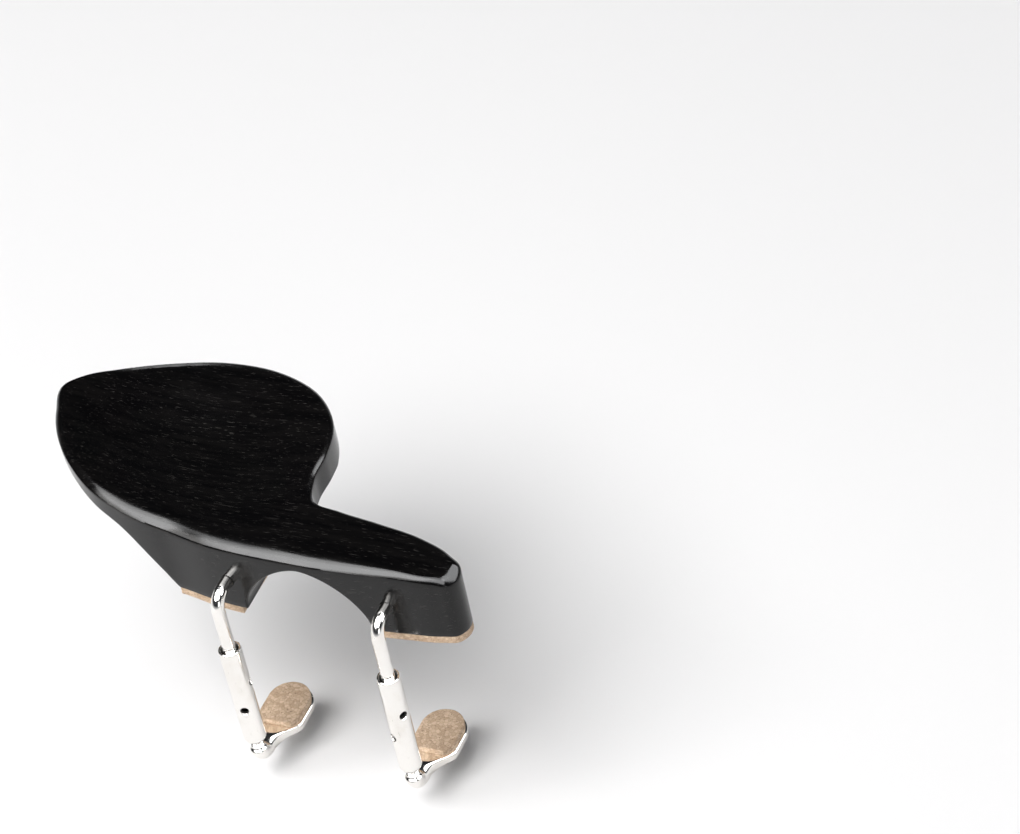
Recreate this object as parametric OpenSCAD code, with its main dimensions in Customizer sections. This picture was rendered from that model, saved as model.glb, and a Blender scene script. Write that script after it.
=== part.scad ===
// Side-mounted violin chin rest: a carved plate that bridges the tail of the instrument,
// two cork pads under it, and two turnbuckle legs that clamp it to the edge.
// X runs across the tail with the cup on the negative side, Y runs towards the neck, Z is up.
// Origin: midway between the legs, on the top of the instrument, in the plane of the end of the body;
// the front face bows out from that plane by 2 mm in the middle.

/* [Clamp] */
// Distance between the two legs
leg_spacing = 38.4; // [37:0.2:41]
// Distance from the end of the body out to the axis of a leg
leg_offset = 7.2; // [7:0.1:8]
// Height of instrument edge held between the cork pads and the feet
clamp_gap = 36.3; // [35.2:0.1:38]

/* [Cork] */
// Thickness of the pads under the plate
cork_t = 2; // [1.5:0.1:2.5]
// Thickness of the pads on the feet
foot_cork_t = 1.6; // [1:0.1:2]

/* [Hooks] */
// Diameter of the bent rods and of the foot stubs
rod_d = 3; // [2.8:0.1:3.2]
// Height of the hook's arm above the instrument
hook_z = 9.4; // [8.5:0.1:10]
// Centre-line radius of the hook's bend
hook_bend_r = 3.6; // [3:0.1:4]
// Depth of the hook's arm in the wood
hook_depth = 10; // [9:0.5:11]
// Length of rod inside the top of the barrel
hook_engage = 8; // [6:0.5:8.5]

/* [Hook screws] */
// Distance of the screw behind the end of the body
screw_y = 6.4; // [5:0.1:7]
// Diameter of the screw's shank
screw_d = 1.6; // [1.4:0.1:1.8]
// Diameter of the screw's head
screw_head_d = 4; // [3.4:0.1:4.4]
// Length of the screw under its head
screw_len = 10; // [9:0.5:11]

/* [Barrels] */
// Outside diameter of a barrel
barrel_d = 5.2; // [5:0.1:5.6]
// Length of a barrel
barrel_len = 28; // [27:0.5:28.5]
// Distance of the barrel's mouth below the top of the instrument
barrel_drop = 5.2; // [4.5:0.1:5.5]
// Diameter of the cross holes that take the turning key
key_hole_d = 1.9; // [1.6:0.1:2]
// Angle of the left barrel's upper hole from +X
left_turn = 20; // [-90:5:90]
// Angle of the right barrel's upper hole from +X
right_turn = -30; // [-90:5:90]

/* [Feet] */
// Diameter of the foot's bent arm
arm_d = 4; // [3.6:0.1:4.2]
// Centre-line radius of the arm's bend
arm_bend_r = 3; // [2.6:0.1:3.4]
// Width of the foot's paddle
paddle_w = 11; // [9:0.5:13]
// Length of the foot's paddle
paddle_len = 15; // [14:0.5:17]
// Thickness of the foot's paddle
paddle_t = 2.2; // [1.8:0.1:2.4]

/* [Hidden] */
$fn = 48;

ebony = [0.035, 0.033, 0.035];
cork = [0.72, 0.55, 0.38];
nickel = [0.80, 0.79, 0.77];

// Rim of the plate, counter-clockwise from the tip of the bar as seen from above. Row i lies across
// the plate from row 32 - i. Each row holds x, y, the height of the upper crease, the height of the
// lower edge, and the width and height of the rounding inside the crease. Heights of the plate are
// measured from its flat underside.
rim = [
    [35.2, 3.6, 14.3, 0, 4.4, 2.1],
    [34.9, 6.2, 15.1, 0, 2.6, 1.5],
    [31.3, 8.7, 16, 0, 1.5, 0.9],
    [24, 11.5, 16.6, 0, 1.5, 0.8],
    [13, 13.6, 17, 0, 1.5, 0.8],
    [3, 15.2, 17.2, 0, 1.5, 0.8],
    [-4.2, 16.8, 17.6, 3, 1.5, 0.8],
    [-6.4, 22.4, 18.2, 7, 1.5, 0.9],
    [-6.8, 30, 18.8, 10, 1.5, 0.9],
    [-9, 39, 19.2, 12.5, 1.5, 0.9],
    [-16, 47.5, 19.6, 14.5, 1.6, 0.9],
    [-28, 53, 19.8, 16, 1.8, 0.9],
    [-42, 53.8, 20, 17, 1.8, 0.9],
    [-55, 50.8, 20.2, 17.6, 1.8, 0.9],
    [-66.5, 46.3, 20.4, 18.2, 1.6, 0.9],
    [-73.8, 42.3, 20.6, 18.4, 1.5, 0.9],
    [-76.9, 38, 21, 18.6, 1.5, 0.9],
    [-73.9, 28.6, 21.6, 19.2, 1.6, 0.9],
    [-68.2, 19.2, 22, 19.4, 1.8, 0.9],
    [-61.7, 12.3, 21.5, 18, 2.4, 1.0],
    [-54, 6.9, 20.1, 15.8, 3.2, 1.3],
    [-46, 3.9, 18.6, 12.6, 4, 1.5],
    [-38, 2.1, 17.4, 4.6, 4.6, 1.8],
    [-33.9, 1.55, 16.9, 0, 4.9, 1.9],
    [-23, -0.6, 16.4, 0, 5.2, 1.9],
    [-15, -1.4, 16.3, 0, 5.2, 1.9],
    [-7, -1.8, 16.3, 0, 5, 1.9],
    [2, -1.9, 16.1, 0, 4.5, 1.8],
    [12, -1.6, 16.1, 0, 3.8, 1.6],
    [22, -0.95, 15.9, 0, 3, 1.4],
    [30.5, 0, 15, 0, 2.6, 1.4],
    [33.8, 1, 14.3, 0, 3.4, 1.8],
];
rim_steps = 4;
rim_count = len(rim) * rim_steps;

// Points of a closed smooth curve through the rows of a list, spaced by distance in X and Y
function row(list, i) = list[(i + len(list)) % len(list)];
function reach(a, b) = norm([b.x - a.x, b.y - a.y]);
function slope(list, i) =
    let (a = row(list, i - 1), b = row(list, i), c = row(list, i + 1))
    let (before = reach(a, b), after = reach(b, c))
    ((b - a) * after / before + (c - b) * before / after) / (before + after);
function curve_at(list, i, t) =
    let (a = row(list, i), b = row(list, i + 1), span = reach(a, b))
    a * (1 + t * t * (2 * t - 3)) + b * t * t * (3 - 2 * t)
    + slope(list, i) * span * t * (1 - t) * (1 - t) - slope(list, i + 1) * span * t * t * (1 - t);
rim_curve = [for (i = [0 : len(rim) - 1], k = [0 : rim_steps - 1]) curve_at(rim, i, k / rim_steps)];
outline = [for (p = rim_curve) [p.x, p.y]];

// Line down the middle of the plate, pulled in from both tips
spine_mid_x = -18;
spine_pull = 0.86;
function spine(j) =
    let (middle = (outline[j % rim_count] + outline[(rim_count - j) % rim_count]) / 2)
    [spine_mid_x + spine_pull * (middle.x - spine_mid_x), middle.y];

// Height of the chin bowl and of the bar's hollow top, which the edge blends into
bar_top = 17.8;
bowl_depth = 3.6;
bowl_centre = [-38, 27];
bowl_reach = [28, 24];
bar_fall = 0.03;
tip_rise = 2.2;
tip_start = -45;
tip_len = 23;
function bowl(x, y) =
    let (u = (x - bowl_centre.x) / bowl_reach.x, v = (y - bowl_centre.y) / bowl_reach.y)
    let (to_tip = max(0, tip_start - x) / tip_len)
    bar_top - bar_fall * max(0, x) + tip_rise * to_tip * to_tip - bowl_depth * exp(-u * u - v * v);

// Height of the underside along the middle line: flat over the cork, then rising to the tip
function spine_under(x) =
    x > -15 ? 0 : 7 * (1 - exp((x + 15) / 7)) + 0.006 * pow(min(0, x + 35), 2);

// Direction from a rim point towards the inside of the plate
function inward(j) =
    let (d = outline[(j + 1) % rim_count] - outline[(j + rim_count - 1) % rim_count])
    [-d.y, d.x] / norm(d);

// Where on its ellipse the rounding inside the crease starts
crease_angle = 35;

// One point of each ring of the plate, from the spine's underside round the edge to its top
function under_point(j, s) =
    let (p = rim_curve[j], m = spine(j), z = spine_under(m.x), edge = max(0, p[3]))
    [m.x + (p.x - m.x) * s, m.y + (p.y - m.y) * s, z + (edge - z) * pow(s, 2.5)];
function edge_point(j, t) =
    let (p = rim_curve[j], n = inward(j), a = crease_angle + (90 - crease_angle) * t)
    let (w = p[4] * (1 - cos(a) / cos(crease_angle)))
    let (h = p[5] * (sin(a) - sin(crease_angle)) / (1 - sin(crease_angle)))
    [p.x + n.x * w, p.y + n.y * w, p[2] + h];
function dish_point(j, s) =
    let (p = edge_point(j, 1), m = spine(j), blend = s * s * (3 - 2 * s))
    let (x = m.x + (p.x - m.x) * s, y = m.y + (p.y - m.y) * s, z = bowl(x, y))
    [x, y, z + (p.z - z) * blend];
under_steps = [0, 0.25, 0.5, 0.7, 0.85, 1];
edge_steps = [0, 0.33, 0.67, 1];
dish_steps = [0.85, 0.65, 0.45, 0.22, 0];
rings = concat(
    [for (s = under_steps) [for (j = [0 : rim_count - 1]) under_point(j, s)]],
    [for (t = edge_steps) [for (j = [0 : rim_count - 1]) edge_point(j, t)]],
    [for (s = dish_steps) [for (j = [0 : rim_count - 1]) dish_point(j, s)]]
);
last_ring = len(rings) - 1;

// Number of a point in the polyhedron; both sides of the plate share the points on the spine
function at(k, j) =
    let (i = j % rim_count)
    k * rim_count + (k == 0 || k == last_ring ? min(i, rim_count - i) : i);

// Arched passage for the tailgut
arch_x = -0.6;
arch_w = 15.1;
arch_h = 14.4;
arch_power = 1.66;
function arch_point(a) =
    [arch_x - arch_w * sign(cos(a)) * pow(abs(cos(a)), 2 / arch_power),
     arch_h * pow(sin(a), 2 / arch_power)];

// Seats for the cork pads; the left one runs along the front of the outline between two places in X
left_pad_from = -34;
left_pad_to = -16.9;
left_pad_depth = 17;
pad_corner_r = 4;
left_pad_front = [for (p = outline) if (p.y < 5 && p.x > left_pad_from && p.x < left_pad_to) p];
right_pad_x = 14.8;
base_h = 8;
seat_inset = 0.05;

rod_clearance = 0.05;
hook_bore_d = rod_d + 0.04;
screw_bore_d = screw_d + 0.04;
screw_head_t = 1.6;
screw_head_z = cork_t + 0.3;
counterbore_d = screw_head_d + 0.6;
screw_top = screw_head_z + screw_head_t + screw_len;

barrel_top = -barrel_drop;
barrel_bottom = barrel_top - barrel_len;
barrel_bore_d = rod_d + 2 * rod_clearance;
mouth_d = barrel_bore_d + 1;
mouth_depth = 1.2;
upper_key_z = barrel_top - 0.37 * barrel_len;
lower_key_z = barrel_top - 0.61 * barrel_len;

paddle_top = -clamp_gap - foot_cork_t;
arm_z = paddle_top - paddle_t / 2;
elbow_z = arm_z + arm_bend_r;
stub_engage = 7.7;
stub_top = barrel_bottom + stub_engage;
paddle_y = -0.6;
foot_cork_inset = 0.4;

// A place on the left leg (side = -1) or on the right leg (side = 1)
module at_leg(side) {
    translate([side * leg_spacing / 2, -leg_offset, 0])
        children();
}

module plate_blank() {
    polyhedron(
        points = [for (ring = rings) each ring],
        faces = [for (k = [0 : last_ring - 1], j = [0 : rim_count - 1], half = [0, 1])
            half == 0 ? [at(k, j), at(k + 1, j), at(k + 1, j + 1)]
                      : [at(k, j), at(k + 1, j + 1), at(k, j + 1)]]
    );
}

module left_pad_outline(inset) {
    first = left_pad_front[0];
    last = left_pad_front[len(left_pad_front) - 1];
    corner = [first.x + pad_corner_r, left_pad_depth - pad_corner_r];
    polygon(concat(
        [for (p = left_pad_front) [p.x, p.y + inset]],
        [[last.x, left_pad_depth]],
        [for (a = [90 : 10 : 180]) corner + pad_corner_r * [cos(a), sin(a)]]
    ));
}

module right_pad_outline() {
    intersection() {
        polygon(outline);
        translate([right_pad_x, -3])
            square([30, 22]);
    }
}

module arch_passage() {
    translate([0, 70, 0])
        rotate([90, 0, 0])
            linear_extrude(height = 80)
                polygon(concat(
                    [[arch_x - arch_w, -1]],
                    [for (a = [0 : 7.5 : 180]) arch_point(a)],
                    [[arch_x + arch_w, -1]]
                ));
}

module hook_bores(side) {
    translate([side * leg_spacing / 2, hook_depth, hook_z])
        rotate([90, 0, 0])
            cylinder(d = hook_bore_d, h = hook_depth + 3);
    translate([side * leg_spacing / 2, screw_y, 0]) {
        cylinder(d = screw_bore_d, h = screw_top);
        cylinder(d = counterbore_d, h = screw_head_z + screw_head_t);
    }
}

module chin_plate() {
    color(ebony)
        difference() {
            translate([0, 0, cork_t])
                difference() {
                    union() {
                        plate_blank();
                        linear_extrude(height = base_h)
                            left_pad_outline(seat_inset);
                    }
                    arch_passage();
                }
            hook_bores(-1);
            hook_bores(1);
        }
}

module cork_pad_left() {
    color(cork)
        linear_extrude(height = cork_t)
            left_pad_outline(0);
}

module cork_pad_right() {
    color(cork)
        linear_extrude(height = cork_t)
            right_pad_outline();
}

// Rod bent through a right angle, with its arm in the wood and its leg in the barrel
module hook(side) {
    leg_low = barrel_top - hook_engage;
    bend_z = hook_z - hook_bend_r;
    bend_y = -leg_offset + hook_bend_r;
    color(nickel)
        difference() {
            union() {
                at_leg(side)
                    translate([0, 0, leg_low])
                        cylinder(d = rod_d, h = bend_z - leg_low);
                translate([side * leg_spacing / 2, bend_y, bend_z])
                    rotate([90, 0, 90])
                        rotate([0, 0, 90])
                            rotate_extrude(angle = 90)
                                translate([hook_bend_r, 0])
                                    circle(d = rod_d);
                translate([side * leg_spacing / 2, hook_depth - 0.4, hook_z])
                    rotate([90, 0, 0])
                        cylinder(d = rod_d, h = hook_depth - 0.4 - bend_y);
            }
            translate([side * leg_spacing / 2, screw_y, hook_z - rod_d])
                cylinder(d = screw_bore_d, h = 2 * rod_d);
        }
}

// Screw that holds the hook's arm, driven from below and covered by the cork
module hook_screw(side) {
    slot = [0.5, screw_head_d - 1, 0.6];
    color(nickel)
        translate([side * leg_spacing / 2, screw_y, screw_head_z])
            difference() {
                union() {
                    cylinder(d = screw_head_d, h = screw_head_t);
                    cylinder(d = screw_d, h = screw_head_t + screw_len - 1);
                }
                translate([-slot.x / 2, -slot.y / 2, -0.01])
                    cube(slot);
                translate([-slot.y / 2, -slot.x / 2, -0.01])
                    cube([slot.y, slot.x, slot.z]);
            }
}

// Threaded sleeve with an open mouth, a chamfered lower end and two crossed key holes
module barrel(side, turn) {
    r = barrel_d / 2;
    bore_r = barrel_bore_d / 2;
    chamfer = 0.5;
    color(nickel)
        at_leg(side)
            difference() {
                rotate_extrude()
                    polygon([
                        [bore_r, barrel_bottom],
                        [r - chamfer, barrel_bottom],
                        [r, barrel_bottom + 2 * chamfer],
                        [r, barrel_top - chamfer / 2],
                        [r - chamfer / 2, barrel_top],
                        [mouth_d / 2, barrel_top],
                        [mouth_d / 2, barrel_top - mouth_depth],
                        [bore_r, barrel_top - mouth_depth - 0.5],
                    ]);
                key_hole(upper_key_z, turn);
                key_hole(lower_key_z, turn + 90);
            }
}

module key_hole(z, turn) {
    translate([0, 0, z])
        rotate([0, 90, turn])
            cylinder(d = key_hole_d, h = 2 * barrel_d, center = true);
}

module paddle_outline(inset) {
    r = paddle_w / 2;
    near_y = paddle_y + r;
    far_y = paddle_y + paddle_len - r;
    translate([0, near_y])
        circle(r = r - inset);
    translate([-r + inset, near_y])
        square([2 * (r - inset), far_y - near_y]);
    translate([0, far_y])
        circle(r = r - inset);
}

// Foot: a threaded stub, an arm bent under the instrument and a flat paddle
module foot(side) {
    bend_y = -leg_offset + arm_bend_r;
    color(nickel) {
        at_leg(side) {
            translate([0, 0, elbow_z])
                cylinder(d = rod_d, h = stub_top - elbow_z);
        }
        translate([side * leg_spacing / 2, bend_y, elbow_z])
            rotate([90, 0, 90])
                rotate([0, 0, 180])
                    rotate_extrude(angle = 90)
                        translate([arm_bend_r, 0])
                            circle(d = arm_d);
        translate([side * leg_spacing / 2, paddle_y + 1.2, arm_z])
            rotate([90, 0, 0])
                cylinder(d = arm_d, h = paddle_y + 1.2 - bend_y);
        translate([side * leg_spacing / 2, 0, arm_z - paddle_t / 2])
            linear_extrude(height = paddle_t)
                paddle_outline(0);
    }
}

module foot_cork(side) {
    color(cork)
        difference() {
            translate([side * leg_spacing / 2, 0, paddle_top])
                linear_extrude(height = foot_cork_t)
                    paddle_outline(foot_cork_inset);
            translate([side * leg_spacing / 2 - paddle_w, paddle_y - 1, paddle_top - 1])
                cube([2 * paddle_w, 3, foot_cork_t + 2]);
        }
}

chin_plate();
cork_pad_left();
cork_pad_right();
hook(-1);  // hook_left
hook(1);  // hook_right
hook_screw(-1);  // hook_screw_left
hook_screw(1);  // hook_screw_right
barrel(-1, left_turn);  // barrel_left
barrel(1, right_turn);  // barrel_right
foot(-1);  // foot_left
foot(1);  // foot_right
foot_cork(-1);  // foot_cork_left
foot_cork(1);  // foot_cork_right
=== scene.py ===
"""Violin chin rest: the visible pieces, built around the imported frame.

All shapes are worked out in millimetres in the frame's own axes; mesh_object() makes them metres.
"""
import math

import bpy
import numpy as np
from mathutils import Matrix, Vector, noise
from mathutils.geometry import delaunay_2d_cdt
from mathutils.kdtree import KDTree


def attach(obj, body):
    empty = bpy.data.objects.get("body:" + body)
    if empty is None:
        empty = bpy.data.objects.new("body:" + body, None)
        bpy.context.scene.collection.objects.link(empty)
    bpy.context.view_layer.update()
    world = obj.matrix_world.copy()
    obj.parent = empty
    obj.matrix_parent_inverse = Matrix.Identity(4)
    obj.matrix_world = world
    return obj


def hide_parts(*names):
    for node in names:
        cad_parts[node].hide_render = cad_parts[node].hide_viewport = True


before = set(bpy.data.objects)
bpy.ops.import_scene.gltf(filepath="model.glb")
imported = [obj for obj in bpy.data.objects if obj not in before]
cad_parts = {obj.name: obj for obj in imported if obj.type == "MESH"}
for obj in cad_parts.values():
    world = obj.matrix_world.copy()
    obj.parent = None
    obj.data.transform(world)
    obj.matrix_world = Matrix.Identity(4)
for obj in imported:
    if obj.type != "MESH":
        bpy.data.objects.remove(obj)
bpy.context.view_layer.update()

MM = 0.001
TAU = 2 * math.pi

# ---------------------------------------------------------------------------------------------
# Sizes (mm), as in the CAD model apart from the threads and the easing of edges
# ---------------------------------------------------------------------------------------------
LEG_X = 19.2
LEG_Y = -7.2
CORK_T = 2.0
ROD_R = 1.5
HOOK_Z = 9.4
HOOK_BEND = 3.6
HOOK_END = 9.6
SCREW_Y = 6.4
BARREL_R = 2.6
BARREL_TOP = -5.2
BARREL_LOW = -33.2
BARREL_LENGTH = 28
BORE_R = 1.55
MOUTH_R = 2.05
KEY_R = 0.95
KEY_HIGH = BARREL_TOP - 0.37 * BARREL_LENGTH
KEY_LOW = BARREL_TOP - 0.61 * BARREL_LENGTH
TURNS = {"left": 20.0, "right": -30.0}  # how far each barrel is turned in the photograph (degrees)
ARM_R = 2.0
ARM_BEND = 3.0
ARM_Z = -39.0
ELBOW_Z = -36.0
STUB_TOP = -25.5
PADDLE_Y = -0.6
PADDLE_W = 11.0
PADDLE_L = 15.0
PADDLE_T = 2.2
PAD_RIGHT_FROM = 14.8
FOOT_CORK_T = 1.6
FOOT_CORK_INSET = 0.4
PITCH = 0.5
THREAD_DEPTH = 0.27
THREAD_END = 0.2  # how much thinner the rod is just before its thread
FLOOR_Z = -45.6  # clear of the feet at the lower end of their slides
ARCH_X, ARCH_W, ARCH_H, ARCH_POWER = -0.6, 15.1, 14.4, 1.66
PAD_FROM, PAD_TO, PAD_DEPTH, PAD_CORNER = -34.0, -16.9, 17.0, 4.0

# Rim of the plate, counter-clockwise from the tip of the bar: x, y, height of the upper crease,
# height of the lower edge, width and height of the rounding inside the crease. The rows are the
# CAD model's, with a narrower rounding at x 22 and 30.5 in front.
RIM = np.array([
    [35.2, 3.6, 14.3, 0, 4.4, 2.1], [34.9, 6.2, 15.1, 0, 2.6, 1.5],
    [31.3, 8.7, 16, 0, 1.5, 0.9], [24, 11.5, 16.6, 0, 1.5, 0.8],
    [13, 13.6, 17, 0, 1.5, 0.8], [3, 15.2, 17.2, 0, 1.5, 0.8],
    [-4.2, 16.8, 17.6, 3, 1.5, 0.8], [-6.4, 22.4, 18.2, 7, 1.5, 0.9],
    [-6.8, 30, 18.8, 10, 1.5, 0.9], [-9, 39, 19.2, 12.5, 1.5, 0.9],
    [-16, 47.5, 19.6, 14.5, 1.6, 0.9], [-28, 53, 19.8, 16, 1.8, 0.9],
    [-42, 53.8, 20, 17, 1.8, 0.9], [-55, 50.8, 20.2, 17.6, 1.8, 0.9],
    [-66.5, 46.3, 20.4, 18.2, 1.6, 0.9], [-73.8, 42.3, 20.6, 18.4, 1.5, 0.9],
    [-76.9, 38, 21, 18.6, 1.5, 0.9], [-73.9, 28.6, 21.6, 19.2, 1.6, 0.9],
    [-68.2, 19.2, 22, 19.4, 1.8, 0.9], [-61.7, 12.3, 21.5, 18, 2.4, 1.0],
    [-54, 6.9, 20.1, 15.8, 3.2, 1.3], [-46, 3.9, 18.6, 12.6, 4, 1.5],
    [-38, 2.1, 17.4, 4.6, 4.6, 1.8], [-33.9, 1.55, 16.9, 0, 4.9, 1.9],
    [-23, -0.6, 16.4, 0, 5.2, 1.9], [-15, -1.4, 16.3, 0, 5.2, 1.9],
    [-7, -1.8, 16.3, 0, 5, 1.9], [2, -1.9, 16.1, 0, 4.5, 1.8],
    [12, -1.6, 16.1, 0, 3.8, 1.6], [22, -0.95, 15.9, 0, 2.6, 1.4],
    [30.5, 0, 15, 0, 1.8, 1.4], [33.8, 1, 14.3, 0, 3.4, 1.8],
])
RIM_STEPS = 16
CREASE = math.radians(35)  # where the rounding's arc starts, from the level
CREASE_R, CREASE_DROP = 0.3, 0.28  # the crease's own easing, and where the wall ends below it
NET_STEP = 0.75  # size of the triangles of the dish and the underside
SPINE_X, SPINE_SHRINK = -18, 0.86  # the plate's middle line is drawn in towards this X
HOOK_BORE_END = 10.0
SCREW_HEAD_R, SCREW_HEAD_DEPTH = 2.3, 1.9
SCREW_R, SCREW_DEPTH = 0.83, 12.2


# ---------------------------------------------------------------------------------------------
# Mesh helpers
# ---------------------------------------------------------------------------------------------
def mesh_object(name, points, faces):
    """An object from points in millimetres."""
    mesh = bpy.data.meshes.new(name)
    mesh.from_pydata([tuple(p) for p in np.asarray(points, float) * MM], [], faces)
    mesh.validate()
    obj = bpy.data.objects.new(name, mesh)
    bpy.context.scene.collection.objects.link(obj)
    return obj


def shade(obj, sharp_deg=35.0):
    """Smooth shading, apart from the edges that are sharper than an angle."""
    obj.data.polygons.foreach_set("use_smooth", [True] * len(obj.data.polygons))
    obj.data.set_sharp_from_angle(angle=math.radians(sharp_deg))
    obj.data.update()


def ring_faces(rows, count, looped=False):
    """Quads between rings of count points; looped also joins the last ring to the first."""
    faces = []
    for k in range(rows if looped else rows - 1):
        n = (k + 1) % rows
        for j in range(count):
            i = (j + 1) % count
            faces.append((k * count + j, k * count + i, n * count + i, n * count + j))
    return faces


def tube(name, rings, sharp_deg=35.0):
    """A skin over rings of points in the same order, closed by a fan at each end."""
    rings = np.asarray(rings, float)
    rows, count = rings.shape[:2]
    faces = ring_faces(rows, count)
    low, high, last = rows * count, rows * count + 1, (rows - 1) * count
    for j in range(count):
        i = (j + 1) % count
        faces += [(low, i, j), (high, last + j, last + i)]
    ends = [rings[0].mean(0), rings[-1].mean(0)]
    obj = mesh_object(name, np.vstack([rings.reshape(-1, 3), ends]), faces)
    outward(obj)
    shade(obj, sharp_deg)
    return obj


def outward(obj):
    """Turns the faces outwards, judged by the mesh's signed volume."""
    mesh = obj.data
    co = np.zeros(len(mesh.vertices) * 3)
    mesh.vertices.foreach_get("co", co)
    co = co.reshape(-1, 3)
    mesh.calc_loop_triangles()
    tri = np.zeros(len(mesh.loop_triangles) * 3, np.int64)
    mesh.loop_triangles.foreach_get("vertices", tri)
    a, b, c = (co[tri.reshape(-1, 3)[:, i]] for i in range(3))
    if np.einsum("ij,ij->i", a, np.cross(b, c)).sum() < 0:
        mesh.flip_normals()


def lathe(profile, axis, centre, segments):
    """Rings around an axis ('X', 'Y' or 'Z') through centre for (distance along, radius) pairs."""
    angle = np.arange(segments) * TAU / segments
    rings = []
    for along, radius in profile:
        a, b = radius * np.cos(angle), radius * np.sin(angle)
        s = np.full(segments, float(along))
        xyz = {"X": (s, a, b), "Y": (a, s, b), "Z": (a, b, s)}[axis]
        rings.append(np.stack(xyz, 1) + centre)
    return rings


def boolean(obj, cutter, operation):
    """Applies one exact Boolean and removes the cutter."""
    modifier = obj.modifiers.new("cut", "BOOLEAN")
    modifier.operation = operation
    modifier.solver = "EXACT"
    modifier.object = cutter
    graph = bpy.context.evaluated_depsgraph_get()
    mesh = bpy.data.meshes.new_from_object(obj.evaluated_get(graph))
    obj.modifiers.clear()
    old = obj.data
    obj.data = mesh
    bpy.data.meshes.remove(old)
    bpy.data.objects.remove(cutter)
    obj.data.name = obj.name


def smooth(t):
    """Eased step from 0 to 1."""
    t = np.clip(t, 0.0, 1.0)
    return t * t * (3 - 2 * t)


def grain(p, scale, seed):
    """Repeatable noise between -1 and 1 at a point in millimetres."""
    return noise.noise(Vector((p[0] * scale + seed, p[1] * scale - seed, p[2] * scale + 2 * seed)))


def set_attribute(obj, name, amounts):
    """One number for each point of the mesh, for the material to read."""
    attribute = obj.data.attributes.new(name, "FLOAT", "POINT")
    attribute.data.foreach_set("value", amounts)


# ---------------------------------------------------------------------------------------------
# Plate
# ---------------------------------------------------------------------------------------------
def closed_curve(rows, steps):
    """Smooth closed curve through the rows, spaced by distance in X and Y."""
    after = np.linalg.norm((np.roll(rows, -1, 0) - rows)[:, :2], axis=1)[:, None]
    before = np.roll(after, 1, 0)
    slope = ((rows - np.roll(rows, 1, 0)) * after / before
             + (np.roll(rows, -1, 0) - rows) * before / after) / (before + after)
    points = []
    for i in range(len(rows)):
        n = (i + 1) % len(rows)
        for k in range(steps):
            t = k / steps
            points.append(rows[i] * (1 + t * t * (2 * t - 3)) + rows[n] * t * t * (3 - 2 * t)
                          + slope[i] * after[i] * t * (1 - t) ** 2
                          - slope[n] * after[i] * t * t * (1 - t))
    return np.array(points)


def bowl(x, y):
    """Height of the dish: a hollow for the chin that rises towards the tip of the cup."""
    to_tip = np.maximum(0, -45 - x) / 23
    return (17.8 - 0.03 * np.maximum(0, x) + 2.2 * to_tip ** 2
            - 3.6 * np.exp(-((x + 38) / 28) ** 2 - ((y - 27) / 24) ** 2))


def spine_under(x):
    """Height of the middle of the underside, flat under the bar and raised under the cup."""
    rise = 7 * (1 - np.exp(np.minimum(0, x + 15) / 7)) + 0.006 * np.minimum(0, x + 35) ** 2
    return np.where(x > -15, 0.0, rise)


def relax_heights(points, faces, free, rounds):
    """Evens out the heights of the free points, so that no fold shows where two surfaces meet."""
    pairs = np.array([(f[i - 1], f[i]) for f in faces for i in range(len(f))])
    ends = np.concatenate([pairs[:, 0], pairs[:, 1]])
    others = np.concatenate([pairs[:, 1], pairs[:, 0]])
    gap = np.linalg.norm(points[ends, :2] - points[others, :2], axis=1)
    weight = 1 / np.maximum(gap, 0.15)
    total = np.bincount(ends, weight, len(points))
    for _ in range(rounds):
        mean = np.bincount(ends, weight * points[others, 2], len(points)) / total
        points[free, 2] += 0.9 * (mean[free] - points[free, 2])


def dish_net(border, guide):
    """Even net of triangles inside a ring: its inner points, at the guide's heights, and faces."""
    low, high = border[:, :2].min(0), border[:, :2].max(0)
    rows = np.arange(low[1], high[1], NET_STEP * 0.866)
    grid = np.array([(x + NET_STEP / 2 * (r % 2), y) for r, y in enumerate(rows)
                     for x in np.arange(low[0], high[0], NET_STEP)])
    inside = np.zeros(len(grid), bool)
    gap = np.full(len(grid), np.inf)
    for a, b in zip(border, np.roll(border, -1, 0)):
        crosses = (a[1] > grid[:, 1]) != (b[1] > grid[:, 1])
        if crosses.any():
            x = a[0] + (grid[:, 1] - a[1]) * (b[0] - a[0]) / (b[1] - a[1])
            inside ^= crosses & (grid[:, 0] < x)
        gap = np.minimum(gap, np.hypot(grid[:, 0] - a[0], grid[:, 1] - a[1]))
    grid = grid[inside & (gap > 0.5)]
    heights = KDTree(len(guide))
    for i, p in enumerate(guide):
        heights.insert((p[0], p[1], 0), i)
    heights.balance()
    z = [guide[heights.find((x, y, 0))[1]][2] for x, y in grid]
    count = len(border)
    plan = [Vector(p) for p in border[:, :2]] + [Vector(p) for p in grid]
    loop = [(i, (i + 1) % count) for i in range(count)]
    _, _, faces, sources, _, _ = delaunay_2d_cdt(plan, loop, [], 1, 1e-6)
    source = [o[0] for o in sources]
    return np.column_stack([grid, z]), [[source[c] for c in face] for face in faces]


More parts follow.
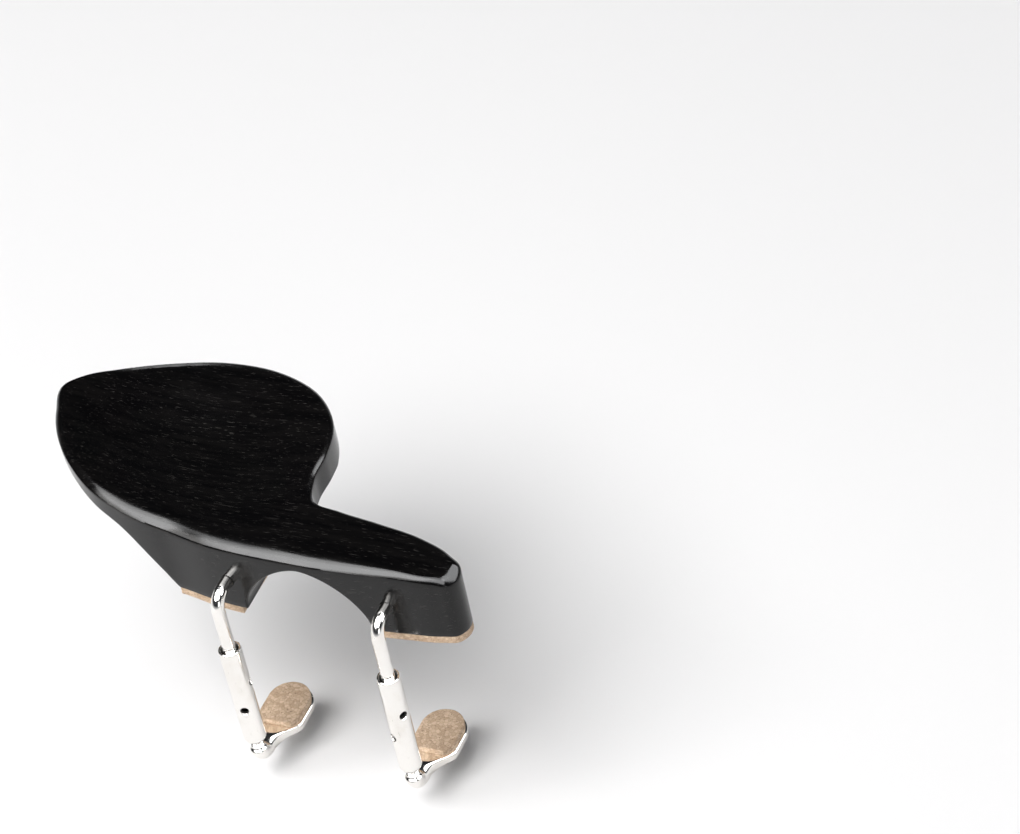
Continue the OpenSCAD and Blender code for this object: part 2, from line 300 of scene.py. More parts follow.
def plate_blank():
    """The carved plate without its passage and bores, its points and how worn each one is."""
    rim = closed_curve(RIM, RIM_STEPS)
    count = len(rim)
    xy = rim[:, :2]
    across = np.roll(xy, -1, 0) - np.roll(xy, 1, 0)
    inward = np.stack([-across[:, 1], across[:, 0]], 1)
    inward /= np.linalg.norm(inward, axis=1)[:, None]
    middle = (xy + xy[(count - np.arange(count)) % count]) / 2
    middle[:, 0] = SPINE_X + SPINE_SHRINK * (middle[:, 0] - SPINE_X)
    crease = rim[:, 2]
    edge = np.maximum(0, rim[:, 3])
    round_r = 0.12 + 0.38 * np.clip(edge / 3, 0, 1)
    wall_top = crease - CREASE_DROP
    rings, wear = [], []

    def add(points, z, amount):
        rings.append(np.column_stack([points, z]))
        wear.append(amount)

    low_rim = xy + inward * round_r[:, None]
    under_z = spine_under(middle[:, 0])
    guide = [np.column_stack([middle + (low_rim - middle) * s,
                              under_z + (edge - under_z) * s ** 2.5])
             for s in np.linspace(0, 1, 26) ** 0.8]
    under, under_faces = dish_net(guide[-1], np.vstack(guide[:-1]))
    add(low_rim, edge, 0.0)
    for a in np.radians([22.5, 45, 67.5, 90]):
        add(xy + inward * (round_r * (1 - math.sin(a)))[:, None],
            edge + round_r * (1 - math.cos(a)), 0.35)
    for t in np.linspace(0, 1, 13)[1:-1]:
        add(xy, edge + round_r + (wall_top - edge - round_r) * t, 0.0)
    # the crease itself is eased by a hair, then the rounding runs inwards from it
    for t in (0.0, 0.3, 0.62):
        a = t * math.radians(44)
        add(xy + inward * (CREASE_R * (1 - math.cos(a))), wall_top + CREASE_R * math.sin(a), 0.6)
    # how far in the rounding reaches, evened out so that it doesn't fold at the tight corners
    reach = inward * rim[:, 4:5]
    for _ in range(180):
        reach = (np.roll(reach, 1, 0) + np.roll(reach, -1, 0) + 2 * reach) / 4
    for t in np.concatenate([[0.03], np.linspace(0.08, 1, 17)]):
        a = CREASE + (math.pi / 2 - CREASE) * t
        rise = rim[:, 5] * (math.sin(a) - math.sin(CREASE)) / (1 - math.sin(CREASE))
        add(xy + reach * (1 - math.cos(a) / math.cos(CREASE)), crease + rise, (1 - t) ** 2)
    top_rim = rings[-1]
    dish_guide = []
    for s in 1 - np.linspace(0, 1, 36)[1:] ** 1.15:
        plan = middle + (top_rim[:, :2] - middle) * s
        z = bowl(plan[:, 0], plan[:, 1])
        dish_guide.append(np.column_stack([plan, z + (top_rim[:, 2] - z) * s * s * (3 - 2 * s)]))
    dish, dish_faces = dish_net(top_rim, np.vstack(dish_guide))

    # all the rings, then the inner points of the dish, then those of the underside
    points = np.vstack(rings + [dish, under])
    points[:, 2] += CORK_T
    last = len(rings) - 1
    under_start = (last + 1) * count + len(dish)
    faces = ring_faces(len(rings), count)
    faces += [[last * count + c for c in f] for f in dish_faces]
    faces += [[c if c < count else under_start - count + c for c in reversed(f)]
              for f in under_faces]
    used = sorted({c for f in faces for c in f})
    number = {c: i for i, c in enumerate(used)}
    points = points[used]
    faces = [tuple(number[c] for c in f) for f in faces]
    used = np.array(used)
    relax_heights(points, faces, (used >= (last - 4) * count) & (used < under_start), 200)
    relax_heights(points, faces, used >= under_start, 100)
    amount = np.concatenate([np.repeat(wear, count), np.zeros(len(dish) + len(under))])[used]
    obj = mesh_object("chin_rest_plate", points, faces)
    outward(obj)
    return obj, points, amount


def pad_outline(grow=0.0):
    """Plan of the left pad, counter-clockwise, grown outwards behind the front face."""
    rim = closed_curve(RIM, RIM_STEPS)[:, :2]
    front = rim[(rim[:, 1] < 5) & (rim[:, 0] > PAD_FROM) & (rim[:, 0] < PAD_TO)]
    x0, x1 = front[0, 0], front[-1, 0]
    points = [(x0 - grow, float(front_y(x0 - grow)))] if grow > 0 else []
    points += [tuple(p) for p in front]
    points += [(x1 + grow, front[-1, 1]), (x1 + grow, PAD_DEPTH + grow)]
    corner = (x0 + PAD_CORNER, PAD_DEPTH - PAD_CORNER)
    for a in np.linspace(math.pi / 2, math.pi, 10):
        points.append((corner[0] + (PAD_CORNER + grow) * math.cos(a),
                       corner[1] + (PAD_CORNER + grow) * math.sin(a)))
    return np.array(points)


def pad_seat():
    """Block under the cup that carries the left pad, flared into the wood above it."""
    height, flare = 8, 3.2
    skin = []
    for z in np.linspace(0, height, 17):
        grow = flare * (1 - math.sqrt(max(0.0, 1 - (z / height) ** 2)))
        plan = resample(pad_outline(grow), count=110)
        plan[:, 1] = np.maximum(plan[:, 1], front_y(plan[:, 0]) + 0.05)
        skin.append(np.column_stack([plan, np.full(len(plan), z + CORK_T)]))
    return tube("pad_seat_cutter", skin)


def resample(outline, step=None, count=None):
    """Points at even distances along a closed outline: count of them, or about one each step."""
    closed = np.vstack([outline, outline[:1]])
    length = np.concatenate([[0], np.cumsum(np.linalg.norm(np.diff(closed, axis=0), axis=1))])
    count = count or max(8, int(round(length[-1] / step)))
    at = np.arange(count) * length[-1] / count
    return np.stack([np.interp(at, length, closed[:, i]) for i in (0, 1)], 1)


def front_y(x):
    """Where the bowed front face is at a place in X."""
    rim = closed_curve(RIM, RIM_STEPS)
    front = rim[(rim[:, 1] < 5) & (rim[:, 0] > -45) & (rim[:, 0] < 33)]
    return np.interp(x, front[:, 0], front[:, 1])


def arch_cutter():
    """Arched passage for the tailgut, with its front edge eased."""
    ease, below, beyond = 0.4, -3.0, 62
    bow_depth = 14  # how far in the rings still follow the bowed front face
    angle = np.radians(np.linspace(0, 180, 97))
    x = ARCH_X - ARCH_W * np.sign(np.cos(angle)) * np.abs(np.cos(angle)) ** (2 / ARCH_POWER)
    z = ARCH_H * np.sin(angle) ** (2 / ARCH_POWER)
    profile = np.stack([x, z], 1)
    along = np.gradient(profile, axis=0)
    normal = np.stack([-along[:, 1], along[:, 0]], 1)
    normal /= np.maximum(1e-9, np.linalg.norm(normal, axis=1))[:, None]
    normal[0], normal[-1] = (-1, 0), (1, 0)
    stations = [-1.0]
    stations += [ease * (1 - math.cos(a)) for a in np.radians([0, 15, 30, 45, 60, 75, 90])]
    stations += list(np.arange(1.2, beyond, 0.8))
    rings = []
    for y in stations:
        inside = max(0.0, ease - max(0.0, y))
        grow = ease - math.sqrt(max(0.0, ease ** 2 - inside ** 2)) if y < ease else 0.0
        grown = profile + normal * grow
        plan = np.vstack([grown, [(grown[-1, 0], below), (grown[0, 0], below)]])
        bow = front_y(plan[:, 0]) * max(0.0, 1 - max(0.0, y) / bow_depth)
        rings.append(np.column_stack([plan[:, 0], y + bow, plan[:, 1] + CORK_T]))
    return tube("arch_cutter", rings)


def eased_bore(radius, ease, depth, axis, centre, segments=48):
    """Cutter for a bore that opens on the plane at 0, with its mouth eased."""
    profile = [(-2.0, radius + ease)]
    profile += [(ease * (1 - math.cos(a)), radius + ease * (1 - math.sin(a)))
                for a in np.radians([0, 30, 60, 90])]
    profile += [(depth, radius)]
    return tube("bore_cutter", lathe(profile, axis, np.array(centre), segments))


def build_plate():
    """The plate with its pad seat, passage, hook bores and screw holes."""
    obj, points, wear = plate_blank()
    boolean(obj, pad_seat(), "UNION")
    boolean(obj, arch_cutter(), "DIFFERENCE")
    for side in (-1, 1):
        x = side * LEG_X
        face = float(front_y(x))
        at_screw = (x, SCREW_Y, CORK_T)
        for bore in (
                eased_bore(ROD_R + 0.03, 0.2, HOOK_BORE_END - face, "Y", (x, face, HOOK_Z)),
                eased_bore(SCREW_HEAD_R, 0.1, SCREW_HEAD_DEPTH, "Z", at_screw),
                eased_bore(SCREW_R, 0.05, SCREW_DEPTH, "Z", at_screw, 24)):
            boolean(obj, bore, "DIFFERENCE")
    # the Booleans renumber the points, so each takes its wear from the nearest one of the blank
    blank = KDTree(len(points))
    for i, p in enumerate(points):
        blank.insert(Vector(p) * MM, i)
    blank.balance()
    amounts = []
    for v in obj.data.vertices:
        _, i, distance = blank.find(v.co)
        amounts.append(float(wear[i]) if distance < 0.4 * MM else 0.0)
    set_attribute(obj, "wear", amounts)
    shade(obj, 32)
    return obj


# ---------------------------------------------------------------------------------------------
# Cork pads
# ---------------------------------------------------------------------------------------------
def cork_slab(name, outline, low, high, seed, step=0.3, ease=0.25):
    """A cork pad with eased edges and a slightly crumbled side."""
    plan = resample(outline, step)
    count = len(plan)
    centre = plan.mean(0)
    ahead = np.roll(plan, -1, 0) - np.roll(plan, 1, 0)
    out = np.stack([ahead[:, 1], -ahead[:, 0]], 1)
    out /= np.linalg.norm(out, axis=1)[:, None]
    rings = []

    def side(inset, z):
        ring = []
        for p, n in zip(plan, out):
            d = -inset
            d -= 0.05 * (1 + grain((p[0], p[1], z), 1.3, seed))
            d -= 0.12 * max(0.0, grain((p[0], p[1], z), 3.1, seed + 7) - 0.25)
            ring.append((p[0] + n[0] * d, p[1] + n[1] * d, z))
        rings.append(np.array(ring))

    def cap(z):
        rows = []
        for s in (0.3, 0.6, 0.8, 0.92):
            xy = centre + (plan - out * ease - centre) * s
            rows.append(np.column_stack([xy, np.full(count, z)]))
        return rows

    rings += cap(low)
    for a in np.radians([0, 30, 60]):
        side(ease * (1 - math.sin(a)), low + ease * (1 - math.cos(a)))
    for t in np.linspace(0, 1, 7):
        side(0, low + ease + (high - low - 2 * ease) * t)
    for a in np.radians([30, 60, 90]):
        side(ease * (1 - math.cos(a)), high - ease * (1 - math.sin(a)))
    rings += reversed(cap(high))
    return tube(name, rings, 60)


def right_pad_outline():
    """Plan of the right pad: the end of the bar, cut off square."""
    rim = closed_curve(RIM, RIM_STEPS)[:, :2]
    half = len(rim) // 2
    front = [p for p in rim[half:] if p[0] > PAD_RIGHT_FROM]
    back = [p for p in rim[:half] if p[0] > PAD_RIGHT_FROM]
    first, last = (min(points, key=lambda p: p[0])[1] for points in (front, back))
    return np.array([(PAD_RIGHT_FROM, first)] + front + back + [(PAD_RIGHT_FROM, last)])


# ---------------------------------------------------------------------------------------------
# Metal
# ---------------------------------------------------------------------------------------------
ROUND = np.arange(48) * TAU / 48  # angles of the points round a rod


def thread_depth(angle, z, hand, start, end):
    """How far a thread cuts into a rod; hand is 1 for a right-hand and -1 for a left-hand one."""
    phase = (z / PITCH - hand * angle / TAU) % 1.0
    groove = np.clip((np.abs(2 * phase - 1) - 0.12) / 0.76, 0, 1)
    fade = smooth((z - start) / 0.5) * smooth((end - z) / 0.5)
    return THREAD_DEPTH * groove * fade


def leg_ring(x, z, radius, thread=None):
    """A ring of an upright rod; thread gives its hand and the heights where it starts and ends."""
    r = radius - (thread_depth(ROUND, z, *thread) if thread else 0.0)
    return np.stack([x + r * np.cos(ROUND), LEG_Y + r * np.sin(ROUND), np.full(len(ROUND), z)], 1)


def rod_end(x, z, way):
    """Rings of a rod's eased end at height z; the rod goes up from it (1) or down (-1)."""
    return [leg_ring(x, z + way * along, ROD_R - THREAD_END - inset)
            for inset, along in ((0.5, 0.0), (0.2, 0.12), (0.0, 0.45))]


def quarter_bend(x, start_z, way, bend, radius, stations, thinned=0.0):
    """Rings from an upright rod to an arm along Y, bent upwards (1) or downwards (-1)."""
    rings = []
    for a in stations:
        squeeze = 1 - thinned * math.sin(2 * a)
        centre = np.array([x, LEG_Y + bend - bend * math.cos(a),
                           start_z + way * bend * math.sin(a)])
        out = np.array([0, -math.cos(a), way * math.sin(a)])
        rings.append(np.array([centre + radius * (np.array([1, 0, 0]) * math.cos(t)
                                                  - out * math.sin(t) * squeeze)
                               for t in ROUND]))
    return rings


def build_hook(side, name):
    """A bent rod: threaded leg in the barrel, a quarter bend and an arm in the wood."""
    x = side * LEG_X
    low = BARREL_TOP - 8
    bend_z = HOOK_Z - HOOK_BEND
    rings = rod_end(x, low, 1)
    for z in np.arange(low + 0.5, BARREL_TOP + 1.3, PITCH / 8):
        rings.append(leg_ring(x, z, ROD_R, (1, low + 0.3, BARREL_TOP + 0.7)))
    for z in np.linspace(BARREL_TOP + 1.5, bend_z, 14):
        rings.append(leg_ring(x, z, ROD_R))
    rings += quarter_bend(x, bend_z, 1, HOOK_BEND, ROD_R,
                          np.linspace(0, math.pi / 2, 22)[1:], thinned=0.025)
    for y in np.linspace(LEG_Y + HOOK_BEND, HOOK_END, 16)[1:]:
        rings.append(np.array([(x + ROD_R * math.cos(t), y, HOOK_Z - ROD_R * math.sin(t))
                               for t in ROUND]))
    return tube(name, rings, 50)


def build_barrel(side, name, turn):
    """A sleeve with an eased rim, an open mouth and two countersunk crossed key holes."""
    x = side * LEG_X
    outer = [(BARREL_LOW, BORE_R + 0.15), (BARREL_LOW, BARREL_R - 0.55),
             (BARREL_LOW + 0.12, BARREL_R - 0.42), (BARREL_LOW + 0.85, BARREL_R - 0.06),
             (BARREL_LOW + 1.0, BARREL_R - 0.015), (BARREL_LOW + 1.2, BARREL_R)]
    outer += [(z, BARREL_R) for z in np.arange(BARREL_LOW + 1.6, BARREL_TOP - 0.45, 0.45)]
    outer += [(BARREL_TOP - 0.3 + 0.3 * math.sin(a), BARREL_R - 0.3 + 0.3 * math.cos(a))
              for a in np.radians([0, 22.5, 45, 67.5, 90])]
    inner = [(BARREL_TOP, MOUTH_R + 0.12), (BARREL_TOP - 0.12, MOUTH_R),
             (BARREL_TOP - 1.2, MOUTH_R - 0.05), (BARREL_TOP - 1.7, BORE_R)]
    inner += [(z, BORE_R) for z in np.arange(BARREL_TOP - 2.2, BARREL_LOW + 0.4, -0.45)]
    inner += [(BARREL_LOW + 0.15, BORE_R)]
    count = 96
    rings = lathe(outer + inner, "Z", np.array([x, LEG_Y, 0]), count)
    obj = mesh_object(name, np.vstack(rings), ring_faces(len(rings), count, looped=True))
    outward(obj)
    # each key hole runs right through and is countersunk at both ends
    flare = ((2.3, 0.0), (2.45, 0.06), (2.62, 0.2), (3.4, 0.5))
    profile = [(-along, KEY_R + wider) for along, wider in reversed(flare)]
    profile += [(0, KEY_R)]
    profile += [(along, KEY_R + wider) for along, wider in flare]
    for z, spin in ((KEY_HIGH, turn), (KEY_LOW, turn + 90)):
        cutter = tube("key_cutter", lathe(profile, "X", np.zeros(3), 40))
        cutter.data.transform(Matrix.Rotation(math.radians(spin), 4, "Z"))
        cutter.data.transform(Matrix.Translation(Vector((x, LEG_Y, z)) * MM))
        boolean(obj, cutter, "DIFFERENCE")
    # painted shade, with some oil and dirt, darkens the bore and the key holes, and fades out at
    # the mouth and the lower lip
    place = np.array([v.co for v in obj.data.vertices]) / MM
    away = np.hypot(place[:, 0] - x, place[:, 1] - LEG_Y)
    amount = np.clip((BARREL_R - 0.12 - away) / 0.15, 0, 1)
    amount *= np.clip((BARREL_TOP - place[:, 2]) / 0.25, 0, 1)
    amount *= np.clip((place[:, 2] - BARREL_LOW) / 0.4, 0, 1)
    set_attribute(obj, "grime_and_shade", amount)
    shade(obj, 28)
    return obj


def paddle_half_width(y):
    """Half width of the foot's plan, from the round arm to the end of the paddle."""
    r = PADDLE_W / 2
    near, far = PADDLE_Y + r, PADDLE_Y + PADDLE_L - r
    if y < near:
        disc = math.sqrt(max(0.0, r * r - (near - y) ** 2)) if y > PADDLE_Y else 0.0
        neck = ARM_R * 0.97
        # soft shoulder between the arm and the round end
        shoulder = float(smooth((y - PADDLE_Y + 2.2) / 6.4)) ** 1.4
        return max(disc, neck, neck + (r - neck) * shoulder)
    if y > far:
        return math.sqrt(max(0.0, r * r - (y - far) ** 2))
    return r


def build_foot(side, name):
    """A threaded stub, an elbow and an arm beaten out into a paddle."""
    x = side * LEG_X
    rings = rod_end(x, STUB_TOP, -1)
    for z in np.arange(STUB_TOP - 0.5, ELBOW_Z + 0.55, -PITCH / 8):
        rings.append(leg_ring(x, z, ROD_R, (-1, ELBOW_Z + 0.55, STUB_TOP - 0.3)))
    # shoulder where the thread runs into the thicker arm
    for t in np.linspace(0, 1, 7):
        radius = ROD_R - 0.12 + (ARM_R - ROD_R + 0.12) * float(smooth(t))
        rings.append(leg_ring(x, ELBOW_Z + 0.5 - 0.75 * t, radius))
    rings += quarter_bend(x, ELBOW_Z, -1, ARM_BEND, ARM_R, np.linspace(0, math.pi / 2, 22)[2:])
    # the round section flattens to the paddle's over the first few millimetres
    end = PADDLE_Y + PADDLE_L
    far = end - PADDLE_W / 2
    stations = list(np.linspace(LEG_Y + ARM_BEND, far, 44)[1:])
    stations += [far + PADDLE_W / 2 * math.sin(a) for a in np.linspace(0, math.pi / 2, 22)[1:-1]]
    for y in stations:
        flat = float(smooth((y - PADDLE_Y + 2.6) / 4.2))
        a = paddle_half_width(y)
        b = ARM_R + (PADDLE_T / 2 - ARM_R) * flat
        b *= min(1.0, (max(0.0, end - y) / 0.55 + 0.02) ** 0.5)
        power = 2 / (2 + 5 * flat)
        c, s = np.cos(ROUND), np.sin(ROUND)
        ring_x = x + a * np.sign(c) * np.abs(c) ** (power if flat < 1 else 2 / 7)
        ring_z = ARM_Z + b * np.sign(s) * np.abs(s) ** power
        rings.append(np.stack([ring_x, np.full(len(ROUND), y), ring_z], 1))
    return tube(name, rings, 60)


def foot_cork_outline(x):
    """Plan of a foot's pad: the paddle's, a little smaller and cut off square by the arm."""
    near, far = PADDLE_Y + PADDLE_W / 2, PADDLE_Y + PADDLE_L - PADDLE_W / 2
    r = PADDLE_W / 2 - FOOT_CORK_INSET
    cut = PADDLE_Y + 2
    start = math.asin((cut - near) / r)
    return np.array([(x + r * math.cos(a), y + r * math.sin(a))
                     for y, angles in ((near, np.linspace(start, 0, 8)),
                                       (far, np.linspace(0, math.pi, 24)),
                                       (near, np.linspace(math.pi, math.pi - start, 8)))
                     for a in angles])


# ---------------------------------------------------------------------------------------------
# Materials
# ---------------------------------------------------------------------------------------------
class Nodes:
    """Small helper for building a node tree in millimetre coordinates."""

    def __init__(self, name):
        self.material = bpy.data.materials.new(name)
        self.material.use_nodes = True
        self.tree = self.material.node_tree
        self.shader = self.tree.nodes["Principled BSDF"]
        self.coord = self.new("ShaderNodeTexCoord").outputs["Object"]

    def new(self, kind, **settings):
        node = self.tree.nodes.new(kind)
        for key, value in settings.items():
            setattr(node, key, value)
        return node

    def link(self, a, b):
        self.tree.links.new(a, b)

    def scaled(self, scale, turn=(0, 0, 0)):
        node = self.new("ShaderNodeMapping")
        node.inputs["Scale"].default_value = [1000 * s for s in scale]
        node.inputs["Rotation"].default_value = [math.radians(t) for t in turn]
        self.link(self.coord, node.inputs["Vector"])
        return node.outputs["Vector"]

    def noise(self, scale, detail=3.0, rough=0.5, turn=(0, 0, 0)):
        node = self.new("ShaderNodeTexNoise")
        self.link(self.scaled(scale, turn), node.inputs["Vector"])
        node.inputs["Scale"].default_value = 1.0
        node.inputs["Detail"].default_value = detail
        node.inputs["Roughness"].default_value = rough
        return node.outputs["Fac"]

    def ramp(self, value, low, high, to_low=0.0, to_high=1.0, eased=True):
        node = self.new("ShaderNodeMapRange")
        node.interpolation_type = "SMOOTHSTEP" if eased else "LINEAR"
        self.link(value, node.inputs["Value"])
        limits = {"From Min": low, "From Max": high, "To Min": to_low, "To Max": to_high}
        for key, limit in limits.items():
            node.inputs[key].default_value = limit
        return node.outputs["Result"]

    def math(self, operation, a, b):
        node = self.new("ShaderNodeMath", operation=operation)
        for socket, value in zip(node.inputs, (a, b)):
            if isinstance(value, (int, float)):
                socket.default_value = value
            else:
                self.link(value, socket)
        return node.outputs["Value"]

    def times(self, a, b):
        return self.math("MULTIPLY", a, b)

    def plus(self, first, *others):
        for other in others:
            first = self.math("ADD", first, other)
        return first

    def minus(self, a, b):
        return self.math("SUBTRACT", a, b)

    def attribute(self, name):
        return self.new("ShaderNodeAttribute", attribute_name=name).outputs["Fac"]

    def cells(self, feature, scale):
        node = self.new("ShaderNodeTexVoronoi", feature=feature)
        self.link(self.scaled(scale), node.inputs["Vector"])
        node.inputs["Scale"].default_value = 1.0
        return node

    def mix(self, factor, a, b):
        node = self.new("ShaderNodeMix", data_type="RGBA")
        self.link(factor, node.inputs["Factor"])
        for key, value in (("A", a), ("B", b)):
            socket = [s for s in node.inputs if s.name == key and s.type == "RGBA"][0]
            if isinstance(value, tuple):
                socket.default_value = (*value, 1.0)
            else:
                self.link(value, socket)
        return [s for s in node.outputs if s.type == "RGBA"][0]

    def bump(self, height, distance_mm, strength=1.0, after=None):
        node = self.new("ShaderNodeBump")
        node.inputs["Strength"].default_value = strength
        node.inputs["Distance"].default_value = distance_mm * MM
        self.link(height, node.inputs["Height"])
        if after is not None:
            self.link(after, node.inputs["Normal"])
        return node.outputs["Normal"]

    def set(self, **sockets):
        for key, value in sockets.items():
            socket = self.shader.inputs[key.replace("_", " ")]
            if isinstance(value, (int, float, tuple)):
                socket.default_value = value if not isinstance(value, tuple) else (*value, 1.0)
            else:
                self.link(value, socket)


def ebony():
    """Polished black wood with long streaks, fine open pores and rubbed edges."""
    n = Nodes("ebony")
    along = (0, 0, -3)  # the grain runs almost along X
    black, brown = (0.0016, 0.0015, 0.0017), (0.0042, 0.0038, 0.0038)
    pore_grey, worn_grey = (0.070, 0.066, 0.062), (0.06, 0.055, 0.05)
    streak = n.noise((0.05, 0.55, 0.55), 4, 0.6, turn=along)
    patch = n.ramp(n.noise((0.045, 0.07, 0.07), 2), 0.30, 0.70)
    base = n.mix(n.ramp(streak, 0.35, 0.7), black, brown)
    pores = n.ramp(n.noise((0.42, 3.4, 3.4), 2, 0.55, turn=along), 0.60, 0.74)
    long_pores = n.ramp(n.noise((0.13, 2.1, 2.1), 1, 0.5, turn=along), 0.70, 0.78)
    fleck = n.times(n.math("MAXIMUM", pores, n.times(long_pores, 0.7)),
                    n.plus(n.times(patch, 0.35), 0.65))
    base = n.mix(n.times(fleck, 0.42), base, pore_grey)
    rubbed = n.times(n.attribute("wear"), n.ramp(n.noise((0.12, 0.25, 0.25), 3), 0.45, 0.7))
    base = n.mix(n.times(rubbed, 0.25), base, worn_grey)
    smear = n.ramp(n.noise((0.09, 0.11, 0.11), 4, 0.65), 0.3, 0.75, -0.02, 0.04)
    rough = n.plus(n.times(streak, 0.06), 0.12, smear, n.times(fleck, 0.10))
    rough = n.minus(rough, n.times(rubbed, 0.05))
    normal = n.bump(n.noise((0.11, 0.16, 0.16), 2), 0.12, 0.18)
    normal = n.bump(n.noise((0.5, 6.0, 6.0), 3), 0.02, 0.35, normal)
    normal = n.bump(n.minus(1.0, fleck), 0.015, 0.25, normal)
    n.set(Base_Color=base, Roughness=rough, Normal=normal)
    n.set(IOR=1.50, Specular_IOR_Level=0.28, Coat_Weight=0.03, Coat_Roughness=0.15)
    return n.material


def cork():
    """Pressed cork: granules of different browns with dark seams and specks."""
    n = Nodes("cork")
    brown, tan, pale = (0.46, 0.315, 0.205), (0.68, 0.515, 0.370), (0.72, 0.56, 0.41)
    speck_brown, seam_brown = (0.13, 0.065, 0.032), (0.22, 0.12, 0.06)
    granule = (1.15, 1.15, 1.5)
    tone = n.new("ShaderNodeSeparateColor")
    n.link(n.cells("F1", granule).outputs["Color"], tone.inputs["Color"])
    edge = n.cells("DISTANCE_TO_EDGE", granule)
    seam = n.ramp(edge.outputs["Distance"], 0.0, 0.12, 1.0, 0.0)
    speck = n.ramp(n.noise((2.4, 2.4, 2.8), 2, 0.6), 0.62, 0.70)
    base = n.mix(n.ramp(tone.outputs["Red"], 0.0, 1.0), brown, tan)
    base = n.mix(n.times(n.noise((0.6, 0.6, 0.6), 4, 0.65), 0.5), base, pale)
    base = n.mix(n.times(speck, 0.75), base, speck_brown)
    base = n.mix(n.times(seam, 0.35), base, seam_brown)
    height = n.minus(n.noise((3.5, 3.5, 3.5), 3, 0.6), n.times(seam, 0.5))
    height = n.minus(height, n.times(speck, 0.6))
    rough = n.ramp(n.noise((1.5, 1.5, 1.5), 2), 0.3, 0.7, 0.78, 0.93)
    n.set(Base_Color=base, Roughness=rough, Normal=n.bump(height, 0.12, 0.7))
    n.set(Specular_IOR_Level=0.25)
    return n.material


def plated(name, bright, dull, rough_low, rough_high, brush, scratch):
    """A metal with fine brush lines, scratches, faint tarnish, and painted shade with some grime
    in its holes.
    """
    n = Nodes(name)
    grime_and_shade_black = (0.030, 0.027, 0.024)
    film = n.ramp(n.noise((0.16, 0.16, 0.11), 4, 0.6), 0.42, 0.75)
    spots = n.ramp(n.noise((1.1, 1.1, 0.9), 3, 0.65), 0.63, 0.74)
    base = n.mix(n.times(film, 0.5), bright, dull)
    base = n.mix(n.times(spots, 0.22), base, tuple(0.55 * c for c in dull))
    # painted shade, with some dirt: the bore and key holes are darkened almost to black
    grime_and_shade = n.attribute("grime_and_shade")
    base = n.mix(n.times(grime_and_shade, 0.93), base, grime_and_shade_black)
    lines = n.noise(brush, 3, 0.6)
    marks = n.ramp(n.noise(scratch, 1, 0.5, turn=(17, 9, 0)), 0.66, 0.71)
    rough = n.ramp(lines, 0.3, 0.7, rough_low, rough_high, eased=False)
    rough = n.plus(rough, n.times(spots, 0.10), n.times(film, 0.04),
                   n.times(marks, 0.12), n.times(grime_and_shade, 0.35))
    normal = n.bump(n.noise((0.35, 0.35, 0.25), 2), 0.03, 0.25)
    normal = n.bump(lines, 0.006, 0.25, normal)
    normal = n.bump(n.minus(1.0, marks), 0.008, 0.3, normal)
    n.set(Base_Color=base, Roughness=rough, Normal=normal)
    n.set(Metallic=1.0)
    return n.material


# ---------------------------------------------------------------------------------------------
# Assembly
# ---------------------------------------------------------------------------------------------
MATERIALS = {
    "ebony": ebony(),
    "cork": cork(),
    "nickel": plated("nickel", (0.86, 0.84, 0.81), (0.72, 0.68, 0.62), 0.07, 0.17,
                     (5.0, 5.0, 0.5), (0.5, 2.6, 0.35)),
    "screw": plated("screw_steel", (0.62, 0.61, 0.58), (0.42, 0.39, 0.35), 0.25, 0.42,
                    (3.0, 3.0, 3.0), (1.0, 4.0, 1.0)),
}


def piece(obj, body, slot, *nodes):
    """Gives a new piece its finish and body, and hides the CAD nodes it stands for."""
    obj.data.materials.clear()
    obj.data.materials.append(MATERIALS[slot])
    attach(obj, body)
    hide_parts(*nodes)


piece(build_plate(), "plate", "ebony", "chin_plate")
piece(cork_slab("pad_left", pad_outline(), 0.0, CORK_T, 3), "plate", "cork", "cork_pad_left")
piece(cork_slab("pad_right", right_pad_outline(), 0.0, CORK_T, 5), "plate", "cork",
      "cork_pad_right")
cork_low = ARM_Z + PADDLE_T / 2
for side, name in ((-1, "left"), (1, "right")):
    piece(build_hook(side, f"bent_rod_{name}"), "plate", "nickel", f"hook_{name}")
    piece(build_barrel(side, f"sleeve_{name}", TURNS[name]), f"barrel_{name}", "nickel",
          f"barrel_{name}")
    piece(build_foot(side, f"clamp_foot_{name}"), f"foot_{name}", "nickel", f"foot_{name}")
    piece(cork_slab(f"foot_pad_{name}", foot_cork_outline(side * LEG_X), cork_low,
                    cork_low + FOOT_CORK_T, 9 + side), f"foot_{name}", "cork",
          f"foot_cork_{name}")
    # the screws lie deep in their recesses and stay the CAD's, with a finish of their own
    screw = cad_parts[f"hook_screw_{name}"]
    screw.data.materials.clear()
    screw.data.materials.append(MATERIALS["screw"])

# ---------------------------------------------------------------------------------------------
# Floor, light and camera
# ---------------------------------------------------------------------------------------------
FLOOR_HALF = 4000
floor = mesh_object("floor", [(x * FLOOR_HALF, y * FLOOR_HALF, FLOOR_Z)
                              for x, y in ((-1, -1), (1, -1), (1, 1), (-1, 1))], [(0, 1, 2, 3)])
floor_look = Nodes("floor")
floor_look.set(Base_Color=(0.86, 0.86, 0.87), Roughness=0.75, Specular_IOR_Level=0.2)
floor.data.materials.append(floor_look.material)


def area_light(name, towards, distance, width, height, power, tint=(1, 1, 1)):
    """A soft box that stands in a direction from the object and faces it."""
    light = bpy.data.lights.new(name, "AREA")
    light.shape = "RECTANGLE"
    light.size, light.size_y = width, height
    light.energy = power
    light.color = tint
    obj = bpy.data.objects.new(name, light)
    direction = Vector(towards).normalized()
    obj.location = Vector((-0.02, 0.01, 0.0)) + direction * distance
    obj.rotation_euler = direction.to_track_quat("Z", "Y").to_euler()
    bpy.context.scene.collection.objects.link(obj)
    return obj


area_light("key", (-0.30, -0.45, 0.85), 1.3, 1.0, 1.0, 17, (1.0, 0.99, 0.97))
area_light("front_right", (0.75, -0.75, 0.30), 1.5, 0.5, 0.5, 2.0)
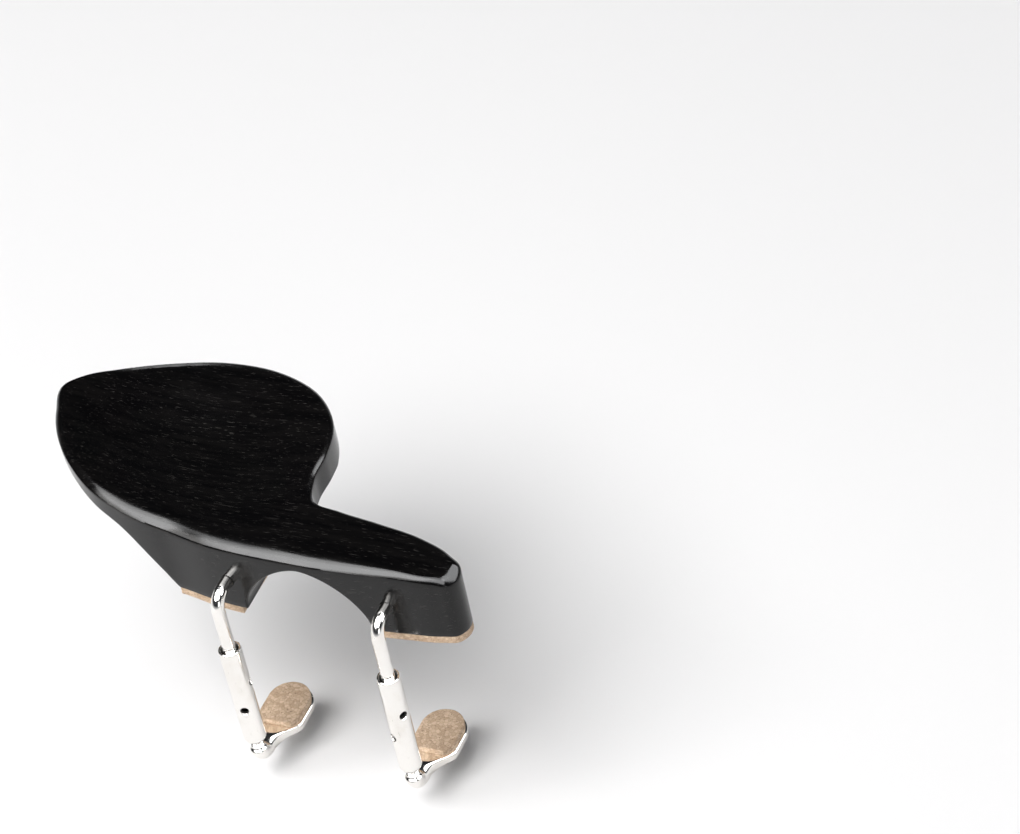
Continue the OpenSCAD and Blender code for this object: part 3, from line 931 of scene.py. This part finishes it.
# softboxes that only show as the highlights along the front shoulder and on the right corner
for name, towards, width, height, power in (
        ("sheen", (0.0, -0.36, 0.93), 1.35, 0.85, 21),
        ("sheen_core", (0.0, -0.50, 0.86), 1.35, 0.60, 8),
        ("corner_sheen", (0.60, 0.27, 0.76), 0.80, 0.95, 22)):
    sheen = area_light(name, towards, 1.0, width, height, power, (0.97, 0.98, 1.0))
    sheen.visible_diffuse = False

# an even wash that keeps the floor pale out to the horizon; it isn't seen in reflections
wash = bpy.data.objects.new("wash", bpy.data.lights.new("wash", "SUN"))
wash.data.energy = 1.5
wash.data.angle = math.radians(70)
wash.rotation_euler = Vector((-0.25, -0.30, 0.92)).to_track_quat("Z", "Y").to_euler()
wash.visible_glossy = False
bpy.context.scene.collection.objects.link(wash)

world = bpy.data.worlds.new("studio")
bpy.context.scene.world = world
world.use_nodes = True
tree = world.node_tree
background = tree.nodes["Background"]
background.inputs["Strength"].default_value = 1.0
# pale walls round a dark ceiling
direction = tree.nodes.new("ShaderNodeTexCoord")
height = tree.nodes.new("ShaderNodeSeparateXYZ")
shade_up = tree.nodes.new("ShaderNodeValToRGB")
tree.links.new(direction.outputs["Generated"], height.inputs["Vector"])
tree.links.new(height.outputs["Z"], shade_up.inputs["Fac"])
tree.links.new(shade_up.outputs["Color"], background.inputs["Color"])
for element, position, color in zip(shade_up.color_ramp.elements, (0.02, 0.22),
                                    ((0.70, 0.71, 0.73, 1), (0.020, 0.021, 0.024, 1))):
    element.position, element.color = position, color

# the photograph's camera: angles in radians, place in metres, focal length in pixels
AZIMUTH, ELEVATION, ROLL = 0.5201, 0.6875, -0.2092
CAMERA_AT = Vector((0.31671, -0.45220, 0.49634))
FOCAL_PX, IMAGE_W = 3419.95, 1020
SENSOR = 36.0
forward = Vector((-math.sin(AZIMUTH) * math.cos(ELEVATION),
                  math.cos(AZIMUTH) * math.cos(ELEVATION), -math.sin(ELEVATION)))
level = Vector((math.cos(AZIMUTH), math.sin(AZIMUTH), 0))
above = level.cross(forward)
right = math.cos(ROLL) * level + math.sin(ROLL) * above
up = -math.sin(ROLL) * level + math.cos(ROLL) * above
camera_data = bpy.data.cameras.new("camera")
camera_data.sensor_fit = "HORIZONTAL"
camera_data.sensor_width = SENSOR
camera_data.lens = FOCAL_PX / IMAGE_W * SENSOR
camera_data.clip_start, camera_data.clip_end = 0.01, 20
camera = bpy.data.objects.new("camera", camera_data)
bpy.context.scene.collection.objects.link(camera)
turn = Matrix((right, up, -forward)).transposed()
camera.matrix_world = Matrix.Translation(CAMERA_AT) @ turn.to_4x4()
bpy.context.scene.camera = camera
bpy.context.scene.view_settings.view_transform = "Standard"

bpy.context.view_layer.update()
